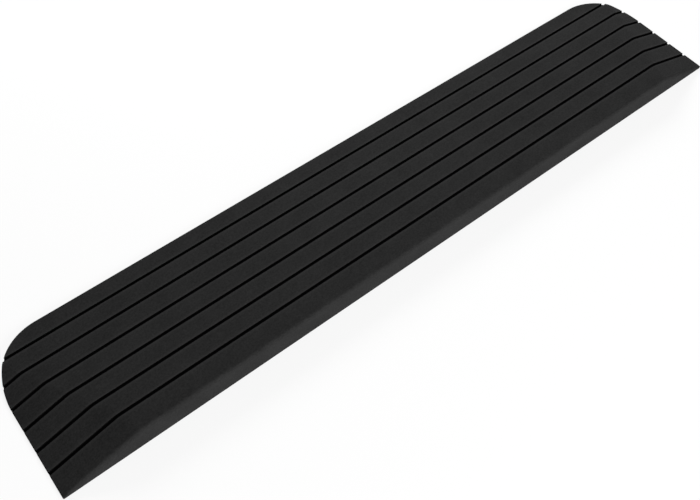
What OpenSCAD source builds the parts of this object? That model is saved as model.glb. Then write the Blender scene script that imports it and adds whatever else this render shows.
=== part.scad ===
// Solid rubber threshold ramp with flared ends, a grooved tread and bonding tape under its base.
// X runs along the doorway. Y runs from the tall heel face, at -Y, down the slope to the thin toe edge.
// Z is up, and the origin is on the floor at the middle of the base.

/* [Ramp] */
// Length along the doorway
ramp_length = 1070; // [800:5:1500]
// Depth from the heel face to the toe edge
ramp_run = 210; // [160:1:400]
// Height of the heel face, to the edge that its brow rounds off
ramp_rise = 38; // [25:0.5:60]
// Thickness left at the toe edge and at both ends
edge_thickness = 3.5; // [3:0.1:8]
// How far each flared end reaches in from the end, along the heel
flare_run = 105; // [70:1:200]

/* [Rounding] */
// Plan radius of a toe corner where it leaves the toe edge
corner_toe_radius = 62; // [30:1:80]
// Plan radius of a toe corner where it runs into the end
corner_end_radius = 106; // [80:1:140]
// Angle that the toe radius turns before the end radius takes over
corner_turn = 52; // [30:1:60]
// Plan radius of the two heel corners
heel_corner_radius = 3; // [1:0.5:10]
// Radius along the top of the heel face
brow_radius = 3; // [0.5:0.1:3]
// Radius of the hips, where the flared ends fall away from the main slope
hip_radius = 40; // [10:1:80]

/* [Tread grooves] */
// Spacing of the grooves, centre to centre
groove_pitch = 30; // [15:0.5:50]
// Distance from the heel face to the centre of the groove nearest to it
heel_land = 32.5; // [15:0.5:60]
// Least distance from the toe edge to the centre of a groove
toe_land = 20; // [10:0.5:40]
// Width of a groove
groove_width = 4; // [2:0.1:6]
// Depth of a groove, straight down from the tread
groove_depth = 2.6; // [1:0.1:2.8]

/* [Bonding tape] */
// Width of a tape strip
tape_width = 25; // [15:1:40]
// Thickness of the foam tape
tape_thickness = 1; // [0.5:0.1:1.5]
// Thickness of the release liner that covers the tape
liner_thickness = 0.1; // [0.05:0.01:0.3]
// Length of the liner's bare pull tab
tab_length = 16; // [8:1:30]
// Corner radius of the pull tab
tab_corner_radius = 8; // [2:0.5:12]
// Gap between a strip and the sides of its pocket
tape_clearance = 0.5; // [0.2:0.1:1]
// Distance from the toe edge to the middle of the toe row
toe_row_inset = 45; // [40:1:60]
// Distance from the heel face to the middle of the heel row
heel_row_inset = 42; // [30:1:70]
// Distance from an end of the ramp to the outer end of a pocket
end_inset = 60; // [50:1:150]
// Gap between the two pockets of a row
pocket_gap = 40; // [10:1:200]

/* [Hidden] */
$fn = 96;

// Sides of the ramp
LEFT = -1;
RIGHT = 1;

// Straight steps in each arc of the plan outline
arc_steps = 16;
// Rounded blocks stand proud by this much, so that the faces they belong to trim them
trim = 0.005;
// Blocks and cutters run on this far past what they shape
spill = ramp_rise;

// Edges of the base
end_x = ramp_length / 2;
toe_y = ramp_run / 2;
heel_y = -ramp_run / 2;

// Fall of the top faces, as height over plan distance, and their upward normals on the right
main_fall = (ramp_rise - edge_thickness) / ramp_run;
flare_fall = (ramp_rise - edge_thickness) / flare_run;
main_normal = unit([0, main_fall, 1]);
flare_normal = unit([flare_fall, 0, 1]);
heel_normal = [0, -1, 0];

// Heights that the top faces reach where they run on past the base
block_crown = ramp_rise + main_fall * spill;
toe_foot = edge_thickness - main_fall * spill;
flare_foot = edge_thickness - flare_fall * spill;

// Right-hand ends of the hip and of the top edge of the heel face
hip_toe = [end_x, toe_y, edge_thickness];
hip_heel = [end_x - flare_run, heel_y, ramp_rise];
flare_heel = [end_x, heel_y, edge_thickness];

// Arc centres of the right toe corner, which has two arcs, and of the right heel corner
corner_reach = corner_toe_radius * sin(corner_turn) + corner_end_radius * (1 - sin(corner_turn));
toe_arc_centre = [end_x - corner_reach, toe_y - corner_toe_radius];
end_arc_centre = toe_arc_centre + (corner_toe_radius - corner_end_radius) * compass(corner_turn);
heel_arc_centre = [end_x - heel_corner_radius, heel_y + heel_corner_radius];

// Grooves, counted from the heel
first_groove_y = heel_y + heel_land;
last_groove_y = toe_y - toe_land;

// Tape layout
pocket_depth = tape_thickness + liner_thickness;
pocket_width = tape_width + 2 * tape_clearance;
pocket_corner_radius = 2 * tape_clearance;
pocket_start = pocket_gap / 2;
pocket_length = end_x - end_inset - pocket_start;
strip_start = pocket_start + tape_clearance;
liner_length = pocket_length - 2 * tape_clearance;
tape_length = liner_length - tab_length;
toe_row_y = toe_y - toe_row_inset;
heel_row_y = heel_y + heel_row_inset;

rubber_black = [0.17, 0.17, 0.17];
tape_white = [0.86, 0.86, 0.83];
liner_amber = [0.80, 0.66, 0.36];

function unit(v) = v / norm(v);

// Plan direction at an angle turned from +Y towards +X
function compass(angle) = [sin(angle), cos(angle)];

// Points along an arc between two compass angles, without the first
function arc(centre, radius, from, to) = [
    for (i = [1 : arc_steps])
        centre + radius * compass(from + (to - from) * i / arc_steps)
];

// The same points on the other end of the ramp, in reverse order
function other_end(points) = [
    for (i = [len(points) - 1 : -1 : 0])
        [-points[i].x, points[i].y]
];

// Places children at a point, with their Z along one direction and their Y along another
module oriented(at, z_dir, y_dir) {
    x_dir = cross(y_dir, z_dir);
    multmatrix([
        [x_dir.x, y_dir.x, z_dir.x, at.x],
        [x_dir.y, y_dir.y, z_dir.y, at.y],
        [x_dir.z, y_dir.z, z_dir.z, at.z],
        [0, 0, 0, 1]
    ])
        children();
}

// Keeps what lies inside a right-hand block and inside its mirror image
module both_ends() {
    intersection() {
        children();
        mirror([1, 0, 0])
            children();
    }
}

// Long block under two faces with normals n1 and n2, which meet in a rounded edge along a to b
module rounded_ridge(a, b, n1, n2, radius) {
    along = unit(b - a);
    up = unit(n1 + n2);
    half_turn = acos(n1 * n2) / 2;
    tangent_x = radius * sin(half_turn);
    far_x = 2 * ramp_length;
    far_y = -far_x * tan(half_turn);
    oriented(a + trim * up - ramp_length * along, along, up)
        linear_extrude(3 * ramp_length) {
            polygon([
                [tangent_x, -tangent_x * tan(half_turn)],
                [-tangent_x, -tangent_x * tan(half_turn)],
                [-far_x, far_y],
                [-far_x, far_y - ramp_length],
                [far_x, far_y - ramp_length],
                [far_x, far_y]
            ]);
            translate([0, -radius / cos(half_turn)])
                circle(r = radius);
        }
}

// Everything under the main slope, run on past the heel, the toe and the ends
module main_wedge() {
    rotate([90, 0, 90])
        linear_extrude(ramp_length + 4 * spill, center = true)
            polygon([
                [heel_y - spill, -spill],
                [toe_y + spill, -spill],
                [toe_y + spill, toe_foot],
                [heel_y - spill, block_crown]
            ]);
}

// Everything under the two flares, run on past the ends, the heel and the toe
module flare_block() {
    foot_x = end_x + spill;
    crown_x = foot_x - (block_crown + spill - flare_foot) / flare_fall;
    rotate([90, 0, 0])
        linear_extrude(ramp_run + 4 * spill, center = true)
            polygon([
                [-foot_x, -spill],
                [foot_x, -spill],
                [foot_x, flare_foot],
                [crown_x, block_crown + spill],
                [-crown_x, block_crown + spill],
                [-foot_x, flare_foot]
            ]);
}

// The sloping top of the ramp with its rounded hips, before it is cut to its plan outline
module slope_block() {
    intersection() {
        main_wedge();
        flare_block();
        both_ends()
            rounded_ridge(hip_toe, hip_heel, main_normal, flare_normal, hip_radius);
    }
}

// Rounded top edge of the heel face, along the main slope and down both flares
module brow() {
    intersection() {
        rounded_ridge([0, heel_y, ramp_rise], hip_heel, main_normal, heel_normal, brow_radius);
        both_ends()
            rounded_ridge(flare_heel, hip_heel, flare_normal, heel_normal, brow_radius);
    }
}

// Plan outline of the ramp
module plan_outline() {
    right_end = concat(
        [[toe_arc_centre.x, toe_y]],
        arc(toe_arc_centre, corner_toe_radius, 0, corner_turn),
        arc(end_arc_centre, corner_end_radius, corner_turn, 90),
        [[end_x, heel_arc_centre.y]],
        arc(heel_arc_centre, heel_corner_radius, 90, 180)
    );
    polygon(concat(right_end, other_end(right_end)));
}

// The grooves, whose floors keep the same depth under the slope, the hips and the flares
module grooves() {
    difference() {
        for (y = [first_groove_y : groove_pitch : last_groove_y])
            translate([0, y, block_crown / 2])
                cube([ramp_length + spill, groove_width, block_crown], center = true);
        translate([0, 0, -groove_depth])
            slope_block();
    }
}

// Rectangle with round corners, from x = 0 and centred on y = 0
module rounded_bar(length, width, radius) {
    translate([0, -width / 2 + radius])
        square([length, width - 2 * radius]);
    translate([radius, -width / 2])
        square([length - 2 * radius, width]);
    for (x = [radius, length - radius], y = [-1, 1] * (width / 2 - radius))
        translate([x, y])
            circle(r = radius);
}

// Places right-hand children in a tape row, on one side of the ramp
module in_row(row_y, side) {
    mirror([side == LEFT ? 1 : 0, 0, 0])
        translate([0, row_y, 0])
            children();
}

// Shallow pocket for one tape strip and its liner
module tape_pocket() {
    translate([pocket_start, 0, -pocket_depth])
        linear_extrude(2 * pocket_depth)
            rounded_bar(pocket_length, pocket_width, pocket_corner_radius);
}

// The rubber moulding
module ramp_body() {
    color(rubber_black)
        difference() {
            intersection() {
                linear_extrude(block_crown)
                    plan_outline();
                slope_block();
                brow();
            }
            grooves();
            for (row_y = [toe_row_y, heel_row_y], side = [LEFT, RIGHT])
                in_row(row_y, side)
                    tape_pocket();
        }
}

// One strip of foam tape, cut square from the roll
module tape_strip(row_y, side) {
    color(tape_white)
        in_row(row_y, side)
            translate([strip_start, -tape_width / 2, liner_thickness])
                cube([tape_length, tape_width, tape_thickness]);
}

// Release liner over one strip, cut square at one end and with a round-cornered pull tab at the other
module tape_liner(row_y, side) {
    corner = min(tab_corner_radius, tab_length, tape_width / 2);
    color(liner_amber)
        in_row(row_y, side)
            translate([strip_start, 0, 0])
                linear_extrude(liner_thickness) {
                    translate([0, -tape_width / 2])
                        square([tape_length, tape_width]);
                    rounded_bar(liner_length, tape_width, corner);
                }
}

ramp_body();
tape_strip(toe_row_y, LEFT);  // tape_toe_left
tape_strip(toe_row_y, RIGHT);  // tape_toe_right
tape_strip(heel_row_y, LEFT);  // tape_heel_left
tape_strip(heel_row_y, RIGHT);  // tape_heel_right
tape_liner(toe_row_y, LEFT);  // liner_toe_left
tape_liner(toe_row_y, RIGHT);  // liner_toe_right
tape_liner(heel_row_y, LEFT);  // liner_heel_left
tape_liner(heel_row_y, RIGHT);  // liner_heel_right
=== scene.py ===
"""Looks of a solid rubber threshold ramp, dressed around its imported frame. Lengths are in metres."""
import math

import bmesh
import bpy
from mathutils import Matrix, Vector
from mathutils.geometry import delaunay_2d_cdt

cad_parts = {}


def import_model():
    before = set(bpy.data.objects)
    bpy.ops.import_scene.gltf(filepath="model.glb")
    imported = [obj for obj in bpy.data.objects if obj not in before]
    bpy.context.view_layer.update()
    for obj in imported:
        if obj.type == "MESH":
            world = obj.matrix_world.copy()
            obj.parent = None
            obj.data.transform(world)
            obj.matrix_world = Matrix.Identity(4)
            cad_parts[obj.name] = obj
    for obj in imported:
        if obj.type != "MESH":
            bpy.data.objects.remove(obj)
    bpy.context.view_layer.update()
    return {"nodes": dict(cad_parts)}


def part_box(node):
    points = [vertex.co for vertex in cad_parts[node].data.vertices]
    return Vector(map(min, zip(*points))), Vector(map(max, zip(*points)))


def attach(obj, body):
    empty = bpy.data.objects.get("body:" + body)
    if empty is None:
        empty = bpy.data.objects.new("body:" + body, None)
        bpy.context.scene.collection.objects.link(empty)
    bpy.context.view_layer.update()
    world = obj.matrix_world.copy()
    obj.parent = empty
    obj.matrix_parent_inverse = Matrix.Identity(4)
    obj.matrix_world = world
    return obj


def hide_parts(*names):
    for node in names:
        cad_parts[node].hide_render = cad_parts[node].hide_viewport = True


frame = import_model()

# Box of the rubber moulding, from the frame
ramp_low, ramp_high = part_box("ramp_body")
END_X = ramp_high.x
HEEL_Y = ramp_low.y
TOE_Y = ramp_high.y

# Slope: height of the heel face to its sharp edge, thickness of the thin edges, reach of the flares
RISE = 0.038
EDGE = 0.0035
FLARE_RUN = 0.105
MAIN_FALL = (RISE - EDGE) / (TOE_Y - HEEL_Y)
FLARE_FALL = (RISE - EDGE) / FLARE_RUN
# Height difference over which the hips blend the main slope into a flare
HIP_BLEND = 0.0013

# Rounding of the heel's edge, in plan and downwards, of the thin edges and of the foot, and the distance
# from an end over which the first grows from that of the thin edges
ROUND_HEEL = 0.0040
FALL_HEEL = 0.0070
ROUND_EDGE = 0.0012
ROUND_FOOT = 0.0002
HEEL_FADE = 0.025
# Most of a wall's height that a rounded edge may take
ROUND_SHARE = 0.7

# Toe corners: two arcs each, and the angle at which the first gives way to the second
CORNER_TOE_RADIUS = 0.062
CORNER_END_RADIUS = 0.106
CORNER_TURN = math.radians(52)
CORNER_REACH = (
    CORNER_TOE_RADIUS * math.sin(CORNER_TURN)
    + CORNER_END_RADIUS * (1 - math.sin(CORNER_TURN))
)
CORNER_AIM = Vector((math.sin(CORNER_TURN), math.cos(CORNER_TURN)))
TOE_ARC = Vector((END_X - CORNER_REACH, TOE_Y - CORNER_TOE_RADIUS))
END_ARC = TOE_ARC + (CORNER_TOE_RADIUS - CORNER_END_RADIUS) * CORNER_AIM

# Tread grooves
GROOVE_COUNT = 6
GROOVE_PITCH = 0.030
HEEL_LAND = 0.0325
GROOVE_HALF = 0.0020
GROOVE_DEPTH = 0.0026
LIP_RADIUS = 0.0006
FLOOR_RADIUS = 0.0008
WALL_LEAN = 0.0002
FIRST_GROOVE_Y = HEEL_Y + HEEL_LAND
# Depth from which a groove face takes the dark finish that paints the grooves' shade, and the width of the
# margin beside a groove over which the lips' painted highlight fades
GROOVE_SHADE_DEPTH = LIP_RADIUS / 8
LIP_MARGIN = 0.004

# Mesh steps: support rows beside a rounding, lands, arcs, roundings and columns
HOLD = 0.0006
SUPPORTS = (HOLD, 0.0018, LIP_MARGIN)
LAND_STEP = 0.004
CORNER_STEPS = 12
ROUND_STEPS = 6
FLARE_SHARE = 0.76
FLARE_COLUMNS = 80
MIDDLE_COLUMNS = 24

# Tape pockets in the base, and how far the cut edges of the foam bulge
POCKET_CLEARANCE = 0.0005
POCKET_CORNER = 0.001
FOAM_BULGE = 0.00025
FOAM_CORNER = 0.0006
STRIPS = ("toe_left", "toe_right", "heel_left", "heel_right")

# Fill of the base: triangles inside its outline, and the least length of an edge
INSIDE_OUTLINE = 1
MERGE_DISTANCE = 1e-7

# Material slots of the moulding
TREAD_FINISH = 0
# The groove slot holds a darker, dull black that paints the shade inside the grooves
GROOVE_SHADE_FINISH = 1

# First row inside the heel rounding and last row inside the toe rounding
HEEL_ROW = HEEL_Y + ROUND_HEEL
TOE_ROW = TOE_Y - ROUND_EDGE


def quarter_turns(steps):
    """Angles from 0 to a right angle, both included."""
    return [math.pi / 2 * step / steps for step in range(steps + 1)]


def top_height(x, y):
    """Height of the tread over a plan point, with the hips rounded off."""
    main = EDGE + MAIN_FALL * (TOE_Y - y)
    flare = EDGE + FLARE_FALL * (END_X - abs(x))
    overlap = max(HIP_BLEND - abs(main - flare), 0.0)
    return min(main, flare) - overlap ** 2 / (4 * HIP_BLEND)


def heel_rounding(x):
    """Rounding of the heel's edge at x, in plan and downwards."""
    share = min((END_X - ROUND_EDGE - abs(x)) / HEEL_FADE, 1.0)
    plan = ROUND_EDGE + (ROUND_HEEL - ROUND_EDGE) * share
    fall = ROUND_EDGE + (FALL_HEEL - ROUND_EDGE) * share
    return plan, fall


def tread_place(x, y, depth):
    """Place on the tread. Its heel row follows the rounding of the heel's edge."""
    if y == HEEL_ROW:
        y = HEEL_Y + heel_rounding(x)[0]
    return x, y, top_height(x, y) - depth


def side_at(y):
    """Half-length inside the rounded edge at y, and the outward plan direction on the right there."""
    arcs = (
        (TOE_ARC, CORNER_TOE_RADIUS - ROUND_EDGE, CORNER_TURN),
        (END_ARC, CORNER_END_RADIUS - ROUND_EDGE, math.pi / 2),
    )
    for centre, radius, last_turn in arcs:
        if y >= centre.y + radius * math.cos(last_turn):
            ahead = min((y - centre.y) / radius, 1.0)
            across = math.sqrt(1 - ahead ** 2)
            return centre.x + radius * across, Vector((across, ahead))
    return END_X - ROUND_EDGE, Vector((1.0, 0.0))


def outline_rows():
    """Places in Y of the rows that the plan outline needs, from heel to toe."""
    count = math.ceil((END_ARC.y - HEEL_ROW) / LAND_STEP)
    rows = [HEEL_ROW + (END_ARC.y - HEEL_ROW) * step / count for step in range(1, count)]
    turns = [step / CORNER_STEPS for step in range(CORNER_STEPS)]
    end_radius = CORNER_END_RADIUS - ROUND_EDGE
    toe_radius = CORNER_TOE_RADIUS - ROUND_EDGE
    for share in turns:
        turn = math.pi / 2 + (CORNER_TURN - math.pi / 2) * share
        rows.append(END_ARC.y + end_radius * math.cos(turn))
    for share in turns:
        rows.append(TOE_ARC.y + toe_radius * math.cos(CORNER_TURN * (1 - share)))
    return rows


def groove_rows(centre):
    """Rows across one groove, heel side first: place in Y and depth."""
    side = []
    for turn in quarter_turns(ROUND_STEPS):
        reach = GROOVE_HALF + LIP_RADIUS * (1 - math.sin(turn))
        side.append((reach, LIP_RADIUS * (1 - math.cos(turn))))
    for turn in quarter_turns(ROUND_STEPS):
        reach = GROOVE_HALF - WALL_LEAN - FLOOR_RADIUS * (1 - math.cos(turn))
        side.append((reach, GROOVE_DEPTH - FLOOR_RADIUS * (1 - math.sin(turn))))
    heel_side = [(centre - reach, depth) for reach, depth in side]
    toe_side = [(centre + reach, depth) for reach, depth in reversed(side)]
    return heel_side + toe_side


def land_rows(start, stop, outline):
    """Rows of one flat land, with support rows beside each of its edges."""
    first = [start + support for support in SUPPORTS]
    last = [stop - support for support in reversed(SUPPORTS)]
    inner = [y for y in outline if first[-1] < y < last[0]]
    return [(y, 0.0) for y in first + inner + last]


def tread_rows():
    """Every row of the tread, from heel to toe: place in Y and depth."""
    outline = outline_rows()
    rows = [(HEEL_ROW, 0.0)]
    start = HEEL_ROW
    for index in range(GROOVE_COUNT):
        groove = groove_rows(FIRST_GROOVE_Y + GROOVE_PITCH * index)
        rows += land_rows(start, groove[0][0], outline) + groove
        start = groove[-1][0]
    beside = [start + support for support in SUPPORTS]
    toe = [y for y in outline if y > beside[-1]]
    return rows + [(y, 0.0) for y in (*beside, *toe, TOE_ROW)]


def lip_highlight(y, depth):
    """Share of the painted highlight on the tread at y: 1 on a groove's lip, fading over its margin and
    down its wall.
    """
    index = min(max(round((y - FIRST_GROOVE_Y) / GROOVE_PITCH), 0), GROOVE_COUNT - 1)
    beside = abs(y - FIRST_GROOVE_Y - GROOVE_PITCH * index) - GROOVE_HALF - LIP_RADIUS
    margin = 1 - max(beside, 0.0) / LIP_MARGIN
    wall = 1 - depth / LIP_RADIUS
    return max(margin, 0.0) * max(wall, 0.0)


def column_shares():
    """Columns as shares of the half-length, from left to right, close together on the flares."""
    right = [FLARE_SHARE * step / MIDDLE_COLUMNS for step in range(MIDDLE_COLUMNS)]
    right += [FLARE_SHARE + (1 - FLARE_SHARE) * step / FLARE_COLUMNS for step in range(FLARE_COLUMNS)]
    right += [1 - HOLD / END_X, 1.0]
    return [-share for share in reversed(right[1:])] + right


def rounded_rectangle(west, east, south, north, radius):
    """Plan points round a rectangle with round corners, anticlockwise from above."""
    places = []
    for quarter, x, y in ((0, east, north), (1, west, north), (2, west, south), (3, east, south)):
        inner_x = x - math.copysign(radius, x - (west + east) / 2)
        inner_y = y - math.copysign(radius, y - (south + north) / 2)
        for turn in quarter_turns(ROUND_STEPS):
            angle = quarter * math.pi / 2 + turn
            places.append((inner_x + radius * math.cos(angle), inner_y + radius * math.sin(angle)))
    return places


class Moulding:
    """Builds the ramp's rubber moulding as one closed mesh."""

    def __init__(self):
        self.mesh = bmesh.new()
        # Per-point share of the painted highlight along the groove lips
        self.wear = self.mesh.verts.layers.float.new("lip_highlight_share")
        self.depths = {}

    def vertex(self, place, wear=0.0, depth=0.0):
        """Adds a point, with its share of the lips' painted highlight and how deep it lies in a groove."""
        made = self.mesh.verts.new(place)
        made[self.wear] = wear
        self.depths[made] = depth
        return made

    def face(self, corners, smooth=True):
        """Adds a face, which takes the grooves' painted shade where all of it lies in a groove."""
        distinct = list(dict.fromkeys(corners))
        made = self.mesh.faces.new(distinct)
        made.smooth = smooth
        # A face deep in a groove takes the finish that paints the grooves' shade
        sunk = min(self.depths[corner] for corner in distinct) > GROOVE_SHADE_DEPTH
        made.material_index = GROOVE_SHADE_FINISH if sunk else TREAD_FINISH

    def skirt(self, upper, lower, smooth=True):
        """Joins two closed rings that run anticlockwise, seen from above."""
        for index in range(len(upper)):
            ahead = (index + 1) % len(upper)
            self.face((upper[index], lower[index], lower[ahead], upper[ahead]), smooth)

    def tread(self):
        """Makes the top surface and returns the stations of its rim."""
        rows = tread_rows()
        shares = column_shares()
        grid = []
        for y, depth in rows:
            # Lighter lips along the grooves: a painted highlight
            wear = lip_highlight(y, depth)
            across = [side_at(y)[0] * share for share in shares]
            places = [tread_place(x, y, depth) for x in across]
            grid.append([self.vertex(place, wear, depth) for place in places])
        for near, far in zip(grid, grid[1:]):
            for index in range(len(shares) - 1):
                self.face((near[index], near[index + 1], far[index + 1], far[index]))
        return rim_stations(rows, grid)

    def rim(self, stations):
        """Rounds the rim over, drops a wall to the floor and returns the ring round the base."""
        ring = [station.start for station in stations]
        for turn in quarter_turns(ROUND_STEPS)[1:]:
            lower = [self.vertex(station.rounded(turn), 0.0, station.depth) for station in stations]
            self.skirt(ring, lower)
            ring = lower
        for level in (station_below_rounding, station_above_foot, station_foot, station_base):
            lower = [self.vertex(level(station)) for station in stations]
            self.skirt(ring, lower)
            ring = lower
        return ring

    def pocket(self, strip):
        """Sinks a pocket for one tape strip and its liner, and returns the ring round its mouth."""
        low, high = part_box("tape_" + strip)
        liner_low, liner_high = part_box("liner_" + strip)
        west = min(low.x, liner_low.x) - POCKET_CLEARANCE
        east = max(high.x, liner_high.x) + POCKET_CLEARANCE
        south = low.y - POCKET_CLEARANCE
        north = high.y + POCKET_CLEARANCE
        plan = rounded_rectangle(west, east, south, north, POCKET_CORNER)
        mouth = [self.vertex((x, y, 0.0)) for x, y in plan]
        roof = [self.vertex((x, y, high.z)) for x, y in plan]
        self.skirt(mouth, roof, smooth=False)
        self.face(reversed(roof), smooth=False)
        return mouth

    def base(self, outline, mouths):
        """Fills the base inside its outline and leaves the mouths of the pockets open."""
        corners = []
        edges = []
        for ring in (outline, *mouths):
            first = len(corners)
            edges += [(first + index, first + (index + 1) % len(ring)) for index in range(len(ring))]
            corners += ring
        plan = [corner.co.xy for corner in corners]
        triangles = delaunay_2d_cdt(plan, edges, [], INSIDE_OUTLINE, MERGE_DISTANCE)[2]
        for triangle in triangles:
            chosen = [corners[index] for index in triangle]
            if not any(mouth.issuperset(chosen) for mouth in map(set, mouths)):
                self.face(chosen, smooth=False)


class Station:
    """One place on the rim of the tread, from which the rounded edge and the wall go down."""

    def __init__(self, start, outward, rounding, fall, depth):
        self.start = start
        self.plan = start.co.xy
        self.outward = outward
        self.rounding = rounding
        self.depth = depth
        self.edge = self.plan + outward * rounding
        height = top_height(self.edge.x, self.edge.y) - depth
        self.drop = min(fall, ROUND_SHARE * height)
        self.wall = height - self.drop

    def rounded(self, turn):
        """Place on the rounded edge, from the tread at no turn to the wall at a right angle."""
        place = self.plan + self.outward * self.rounding * math.sin(turn)
        height = top_height(place.x, place.y) - self.depth
        return place.x, place.y, height - self.drop * (1 - math.cos(turn))

    def at_edge(self, height):
        """Place on the wall at a height."""
        return self.edge.x, self.edge.y, height


def wall_support(station):
    """Height of the support strips beside the rounded edges of a wall."""
    return min(HOLD, (station.wall - ROUND_FOOT) / 3)


def station_below_rounding(station):
    """Place on the wall just below its rounded top."""
    return station.at_edge(station.wall - wall_support(station))


def station_above_foot(station):
    """Place on the wall just above its foot."""
    return station.at_edge(ROUND_FOOT + wall_support(station))


def station_foot(station):
    """Place where the wall meets its broken foot."""
    return station.at_edge(ROUND_FOOT)


def station_base(station):
    """Place where the foot meets the base."""
    place = station.edge - station.outward * ROUND_FOOT
    return place.x, place.y, 0.0


def corner_stations(vertex, first_turn):
    """Stations round a heel corner, a quarter turn anticlockwise from a first direction."""
    made = []
    for turn in quarter_turns(ROUND_STEPS):
        outward = Vector((math.cos(first_turn + turn), math.sin(first_turn + turn)))
        made.append(Station(vertex, outward, ROUND_EDGE, ROUND_EDGE, 0.0))
    return made


def rim_stations(rows, grid):
    """Stations round the rim, anticlockwise from the heel's left corner, seen from above."""
    back = Vector((0.0, -1.0))
    ahead = Vector((0.0, 1.0))
    heel = [Station(vertex, back, *heel_rounding(vertex.co.x), 0.0) for vertex in grid[0][1:-1]]
    toe = [Station(vertex, ahead, ROUND_EDGE, ROUND_EDGE, 0.0) for vertex in grid[-1][1:-1]]
    right = []
    left = []
    for (y, depth), vertices in list(zip(rows, grid))[1:]:
        outward = side_at(y)[1]
        mirrored = Vector((-outward.x, outward.y))
        right.append(Station(vertices[-1], outward, ROUND_EDGE, ROUND_EDGE, depth))
        left.append(Station(vertices[0], mirrored, ROUND_EDGE, ROUND_EDGE, depth))
    right_corner = corner_stations(grid[0][-1], -math.pi / 2)
    left_corner = corner_stations(grid[0][0], math.pi)
    return heel + right_corner + right + toe[::-1] + left[::-1] + left_corner


def finished_piece(mesh, name, node):
    """Puts a closed mesh into the scene as a piece that takes the place of a plain solid."""
    bmesh.ops.recalc_face_normals(mesh, faces=mesh.faces)
    data = bpy.data.meshes.new(name)
    mesh.to_mesh(data)
    mesh.free()
    made = bpy.data.objects.new(name, data)
    bpy.context.scene.collection.objects.link(made)
    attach(made, "root")
    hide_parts(node)
    return made


def ramp_moulding():
    """The rubber moulding."""
    moulding = Moulding()
    outline = moulding.rim(moulding.tread())
    mouths = [moulding.pocket(strip) for strip in STRIPS]
    moulding.base(outline, mouths)
    return finished_piece(moulding.mesh, "ramp_moulding", "ramp_body")


def foam_strip(strip):
    """One strip of foam tape, whose cut edges bulge a little between the two faces."""
    low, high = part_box("tape_" + strip)
    mesh = bmesh.new()
    rings = []
    for step in range(2 * ROUND_STEPS + 1):
        share = step / (2 * ROUND_STEPS)
        inset = FOAM_BULGE * (2 * share - 1) ** 2
        plan = rounded_rectangle(low.x + inset, high.x - inset, low.y + inset, high.y - inset, FOAM_CORNER)
        height = low.z + (high.z - low.z) * share
        rings.append([mesh.verts.new((x, y, height)) for x, y in plan])
    for lower, upper in zip(rings, rings[1:]):
        for index in range(len(lower)):
            corners = (lower[index - 1], lower[index], upper[index], upper[index - 1])
            mesh.faces.new(corners).smooth = True
    mesh.faces.new(rings[0])
    mesh.faces.new(rings[-1])
    return finished_piece(mesh, "foam_" + strip, "tape_" + strip)


class Shader:
    """Small helper that adds and links nodes in one node tree."""

    def __init__(self, tree):
        self.tree = tree
        self.tree.nodes.clear()

    def node(self, kind, inputs=None, **settings):
        """Adds a node with its settings, and fills its sockets with values or with links."""
        made = self.tree.nodes.new(kind)
        for name, value in settings.items():
            setattr(made, name, value)
        for socket, value in (inputs or {}).items():
            if isinstance(value, bpy.types.NodeSocket):
                self.tree.links.new(value, made.inputs[socket])
            else:
                made.inputs[socket].default_value = value
        return made


def grey(level):
    """Opaque neutral colour of one level."""
    return (level, level, level, 1.0)


def material(name):
    """New material, and the helper that builds its nodes."""
    made = bpy.data.materials.new(name)
    made.use_nodes = True
    return made, Shader(made.node_tree)


def noise(shader, place, scale, detail, roughness):
    """Noise over a place, with a scale per metre."""
    inputs = {"Vector": place, "Scale": scale, "Detail": detail, "Roughness": roughness}
    return shader.node("ShaderNodeTexNoise", inputs).outputs["Fac"]


def remapped(shader, value, low, high, to_low, to_high):
    """Value moved from one range to another."""
    inputs = {"Value": value, "From Min": low, "From Max": high, "To Min": to_low, "To Max": to_high}
    return shader.node("ShaderNodeMapRange", inputs).outputs["Result"]


def tones(shader, value, low, high, low_tone, high_tone):
    """Colours that run from one tone to another as a value runs from low to high."""
    made = shader.node("ShaderNodeValToRGB", {"Fac": value})
    for element, position, tone in zip(made.color_ramp.elements, (low, high), (low_tone, high_tone)):
        element.position = position
        element.color = tone
    return made.outputs["Color"]


def blend(shader, share, first, second):
    """Mixes two colours by a share of the second."""
    made = shader.node("ShaderNodeMix", data_type="RGBA")
    sockets = [socket for socket in made.inputs if socket.enabled]
    for socket, value in zip(sockets, (share, first, second)):
        if isinstance(value, bpy.types.NodeSocket):
            shader.tree.links.new(value, socket)
        else:
            socket.default_value = value
    return [socket for socket in made.outputs if socket.enabled][0]


def attribute(shader, name):
    """Value that the mesh carries under a name."""
    return shader.node("ShaderNodeAttribute", attribute_name=name).outputs["Fac"]


# Span of a noise over which its tones and its roughness run
NOISE_LOW = 0.3
NOISE_HIGH = 0.7

# Rubber: scales per metre of its cloudy bloom, its speckle and its mould grain
CLOUD_SCALE = 24.0
SPECKLE_SCALE = 420.0
GRAIN_SCALE = 1500.0
# Tones of its bloom, its speckle, the painted highlight on its lips and the painted shade in its grooves
BLOOM_TONES = (grey(0.0108), grey(0.0202))
SPECKLE_TONES = (grey(0.0114), grey(0.0338))
LIP_HIGHLIGHT_TONE = grey(0.0337)
GROOVE_SHADE_TONES = (grey(0.0048), grey(0.0070))
# Shares that the speckle has in the tread's tone and the painted highlight tone has on the lips
SPECKLE_SHARE = 0.5
LIP_HIGHLIGHT_SHARE = 0.5
# Roughness of its tread and of its grooves
TREAD_ROUGHNESS = (0.70, 0.84)
GROOVE_SHADE_ROUGHNESS = (0.9, 1.0)

# Foam: cells per metre and tones
CELL_SCALE = 2200.0
FOAM_TONES = ((0.58, 0.58, 0.55, 1.0), (0.74, 0.74, 0.71, 1.0))

# Liner: scale of its fibres per metre, their stretch along the strip, tones and roughness
FIBRE_SCALE = 1800.0
FIBRE_STRETCH = (0.15, 1.0, 1.0)
LINER_TONES = ((0.46, 0.29, 0.085, 1.0), (0.60, 0.41, 0.14, 1.0))
LINER_ROUGHNESS = (0.28, 0.42)


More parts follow.
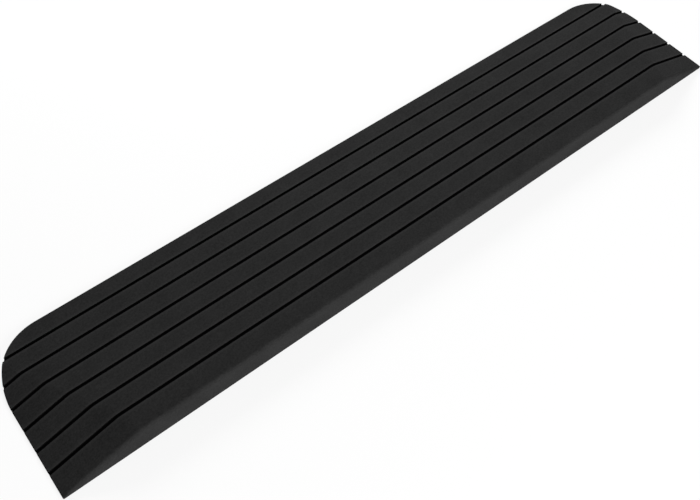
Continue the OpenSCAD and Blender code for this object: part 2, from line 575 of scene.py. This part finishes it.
def rubber_material():
    """Matte black moulded rubber: cloudy bloom, a speckled mould grain and a painted highlight on the lips.
    """
    made, shader = material("black_rubber")
    place = shader.node("ShaderNodeTexCoord").outputs["Object"]
    clouds = noise(shader, place, CLOUD_SCALE, detail=4.0, roughness=0.65)
    speckle = noise(shader, place, SPECKLE_SCALE, detail=3.0, roughness=0.7)
    grain = noise(shader, place, GRAIN_SCALE, detail=2.0, roughness=0.6)
    bloom = tones(shader, clouds, NOISE_LOW, NOISE_HIGH, *BLOOM_TONES)
    specks = tones(shader, speckle, NOISE_LOW, NOISE_HIGH, *SPECKLE_TONES)
    tread = blend(shader, SPECKLE_SHARE, bloom, specks)
    # Painted highlight: the lips lighten towards a paler tone
    lips = remapped(shader, attribute(shader, "lip_highlight_share"), 0.0, 1.0, 0.0, LIP_HIGHLIGHT_SHARE)
    colour = blend(shader, lips, tread, LIP_HIGHLIGHT_TONE)
    rough = remapped(shader, grain, NOISE_LOW, NOISE_HIGH, *TREAD_ROUGHNESS)
    pits = shader.node("ShaderNodeBump", {"Height": grain, "Strength": 0.3, "Distance": 0.0002})
    waves = {"Height": speckle, "Strength": 0.6, "Distance": 0.0004, "Normal": pits.outputs["Normal"]}
    surface = shader.node(
        "ShaderNodeBsdfPrincipled",
        {
            "Base Color": colour,
            "Roughness": rough,
            "Specular IOR Level": 0.03,
            "Normal": shader.node("ShaderNodeBump", waves).outputs["Normal"],
        },
    )
    shader.node("ShaderNodeOutputMaterial", {"Surface": surface.outputs["BSDF"]})
    return made


def groove_shade_material():
    """The same rubber inside the grooves, dull and fully black: a painted shade for the hollows of the
    grooves.
    """
    made, shader = material("groove_shade_rubber")
    place = shader.node("ShaderNodeTexCoord").outputs["Object"]
    grain = noise(shader, place, GRAIN_SCALE, detail=2.0, roughness=0.6)
    # Painted shade: a black darker than the tread's, standing in for the shade inside the grooves
    colour = tones(shader, grain, NOISE_LOW, NOISE_HIGH, *GROOVE_SHADE_TONES)
    rough = remapped(shader, grain, NOISE_LOW, NOISE_HIGH, *GROOVE_SHADE_ROUGHNESS)
    surface = shader.node(
        "ShaderNodeBsdfPrincipled",
        {"Base Color": colour, "Roughness": rough, "Specular IOR Level": 0.0},
    )
    shader.node("ShaderNodeOutputMaterial", {"Surface": surface.outputs["BSDF"]})
    return made


def foam_material():
    """White acrylic foam: fine closed cells."""
    made, shader = material("white_foam")
    place = shader.node("ShaderNodeTexCoord").outputs["Object"]
    pattern = shader.node("ShaderNodeTexVoronoi", {"Vector": place, "Scale": CELL_SCALE})
    cells = pattern.outputs["Distance"]
    tone = tones(shader, cells, 0.0, 1.0, *FOAM_TONES)
    bump = shader.node("ShaderNodeBump", {"Height": cells, "Strength": 0.4, "Distance": 0.0002})
    surface = shader.node(
        "ShaderNodeBsdfPrincipled",
        {"Base Color": tone, "Roughness": 0.8, "Normal": bump.outputs["Normal"]},
    )
    shader.node("ShaderNodeOutputMaterial", {"Surface": surface.outputs["BSDF"]})
    return made


def liner_material():
    """Amber glazed paper: fine fibres along the strip under a slight gloss."""
    made, shader = material("amber_liner")
    place = shader.node("ShaderNodeTexCoord").outputs["Object"]
    stretched = shader.node("ShaderNodeMapping", {"Vector": place, "Scale": FIBRE_STRETCH})
    fibres = noise(shader, stretched.outputs["Vector"], FIBRE_SCALE, detail=4.0, roughness=0.7)
    tone = tones(shader, fibres, NOISE_LOW, NOISE_HIGH, *LINER_TONES)
    rough = remapped(shader, fibres, NOISE_LOW, NOISE_HIGH, *LINER_ROUGHNESS)
    surface = shader.node(
        "ShaderNodeBsdfPrincipled",
        {"Base Color": tone, "Roughness": rough},
    )
    shader.node("ShaderNodeOutputMaterial", {"Surface": surface.outputs["BSDF"]})
    return made


def dress(node_start, finish):
    """Gives a finish to every CAD node whose name has the same start."""
    for name, node in frame["nodes"].items():
        if name.startswith(node_start):
            for slot in node.material_slots:
                slot.material = finish


# Studio
FLOOR_SIZE = 24.0
FLOOR_DROP = 0.0002
FLOOR_TONE = 0.95
# Share of plain white that the floor shows to the camera and to reflections beside the ramp, and the
# distances from the middle between which it grows to the whole
FLOOR_WHITE = 0.86
FADE_START = 0.6
FADE_END = 1.4
WORLD_LIGHT = 0.19
# Diameter of a softbox for each metre that it stands away
LAMP_SPREAD = 0.45


def seen_directly(shader):
    """1 on rays from the camera and on reflected or transmitted ones, 0 on rays that gather light."""
    path = shader.node("ShaderNodeLightPath")
    seen = path.outputs["Is Camera Ray"]
    for other in ("Is Glossy Ray", "Is Transmission Ray"):
        sockets = {0: seen, 1: path.outputs[other]}
        seen = shader.node("ShaderNodeMath", sockets, operation="MAXIMUM").outputs["Value"]
    return seen


def floor():
    """Pale floor that shows white and keeps the ramp's shadow."""
    bpy.ops.mesh.primitive_plane_add(size=FLOOR_SIZE, location=(0.0, 0.0, -FLOOR_DROP))
    made = bpy.context.active_object
    made.name = "floor"
    pale, shader = material("pale_floor")
    matte = shader.node("ShaderNodeBsdfDiffuse", {"Color": grey(FLOOR_TONE)})
    white = shader.node("ShaderNodeEmission", {"Color": grey(1.0), "Strength": 1.0})
    place = shader.node("ShaderNodeTexCoord").outputs["Object"]
    away = shader.node("ShaderNodeVectorMath", {0: place}, operation="LENGTH").outputs["Value"]
    faded = remapped(shader, away, FADE_START, FADE_END, FLOOR_WHITE, 1.0)
    both = {0: seen_directly(shader), 1: faded}
    share = shader.node("ShaderNodeMath", both, operation="MULTIPLY").outputs["Value"]
    mixed = shader.node("ShaderNodeMixShader", {0: share, 1: matte.outputs[0], 2: white.outputs[0]})
    shader.node("ShaderNodeOutputMaterial", {"Surface": mixed.outputs[0]})
    made.data.materials.append(pale)


def world():
    """Even white surroundings, dimmer where they only light the ramp."""
    made = bpy.data.worlds.new("studio")
    made.use_nodes = True
    shader = Shader(made.node_tree)
    soft = shader.node("ShaderNodeBackground", {"Color": grey(1.0), "Strength": WORLD_LIGHT})
    white = shader.node("ShaderNodeBackground", {"Color": grey(1.0), "Strength": 1.0})
    mixed = shader.node(
        "ShaderNodeMixShader",
        {0: seen_directly(shader), 1: soft.outputs[0], 2: white.outputs[0]},
    )
    shader.node("ShaderNodeOutputWorld", {"Surface": mixed.outputs[0]})
    bpy.context.scene.world = made


def softbox(name, bearing, height, distance, level):
    """Round lamp aimed at the ramp: bearing from +X towards +Y and height above the horizon, in degrees."""
    turn = math.radians(bearing)
    climb = math.radians(height)
    abreast = Vector((math.cos(turn), math.sin(turn), 0.0))
    towards = abreast * math.cos(climb) + Vector((0.0, 0.0, math.sin(climb)))
    data = bpy.data.lights.new(name, "AREA")
    data.shape = "DISK"
    data.size = LAMP_SPREAD * distance
    data.energy = level * (math.pi * distance) ** 2
    made = bpy.data.objects.new(name, data)
    made.location = towards * distance
    made.rotation_euler = towards.to_track_quat("Z", "Y").to_euler()
    bpy.context.scene.collection.objects.link(made)


def lights():
    """A softbox behind the toe, a little to its right, and a low one that faces the heel."""
    softbox("back_softbox", bearing=65.0, height=35.0, distance=2.0, level=0.98)
    softbox("heel_softbox", bearing=264.0, height=17.0, distance=2.2, level=1.19)


# Camera, solved from the photograph for a picture of 700 by 500 pixels
CAMERA_PLACE = Vector((-0.46009, -0.45551, 0.86743))
CAMERA_BEARING = math.radians(41.1689)
CAMERA_DIP = math.radians(57.6322)
CAMERA_ROLL = math.radians(3.5205)
CAMERA_LENS = 41.0491
CAMERA_SENSOR = 36.0


def camera():
    """Looks along a bearing from +Y towards +X, dipped below the horizon and rolled a little."""
    level_right = Vector((math.cos(CAMERA_BEARING), -math.sin(CAMERA_BEARING), 0.0))
    level_ahead = Vector((math.sin(CAMERA_BEARING), math.cos(CAMERA_BEARING), 0.0))
    ahead = math.cos(CAMERA_DIP) * level_ahead - math.sin(CAMERA_DIP) * Vector((0.0, 0.0, 1.0))
    level_up = level_right.cross(ahead)
    right = math.cos(CAMERA_ROLL) * level_right + math.sin(CAMERA_ROLL) * level_up
    up = right.cross(ahead)
    data = bpy.data.cameras.new("photo_camera")
    data.sensor_fit = "HORIZONTAL"
    data.sensor_width = CAMERA_SENSOR
    data.lens = CAMERA_LENS
    made = bpy.data.objects.new("photo_camera", data)
    turned = Matrix((right, up, -ahead)).transposed().to_4x4()
    made.matrix_world = Matrix.Translation(CAMERA_PLACE) @ turned
    bpy.context.scene.collection.objects.link(made)
    bpy.context.scene.camera = made


camera()
moulding = ramp_moulding()
moulding.data.materials.append(rubber_material())
moulding.data.materials.append(groove_shade_material())
white_foam = foam_material()
for strip in STRIPS:
    foam_strip(strip).data.materials.append(white_foam)
dress("liner_", liner_material())
floor()
world()
lights()
bpy.context.scene.view_settings.view_transform = "Standard"
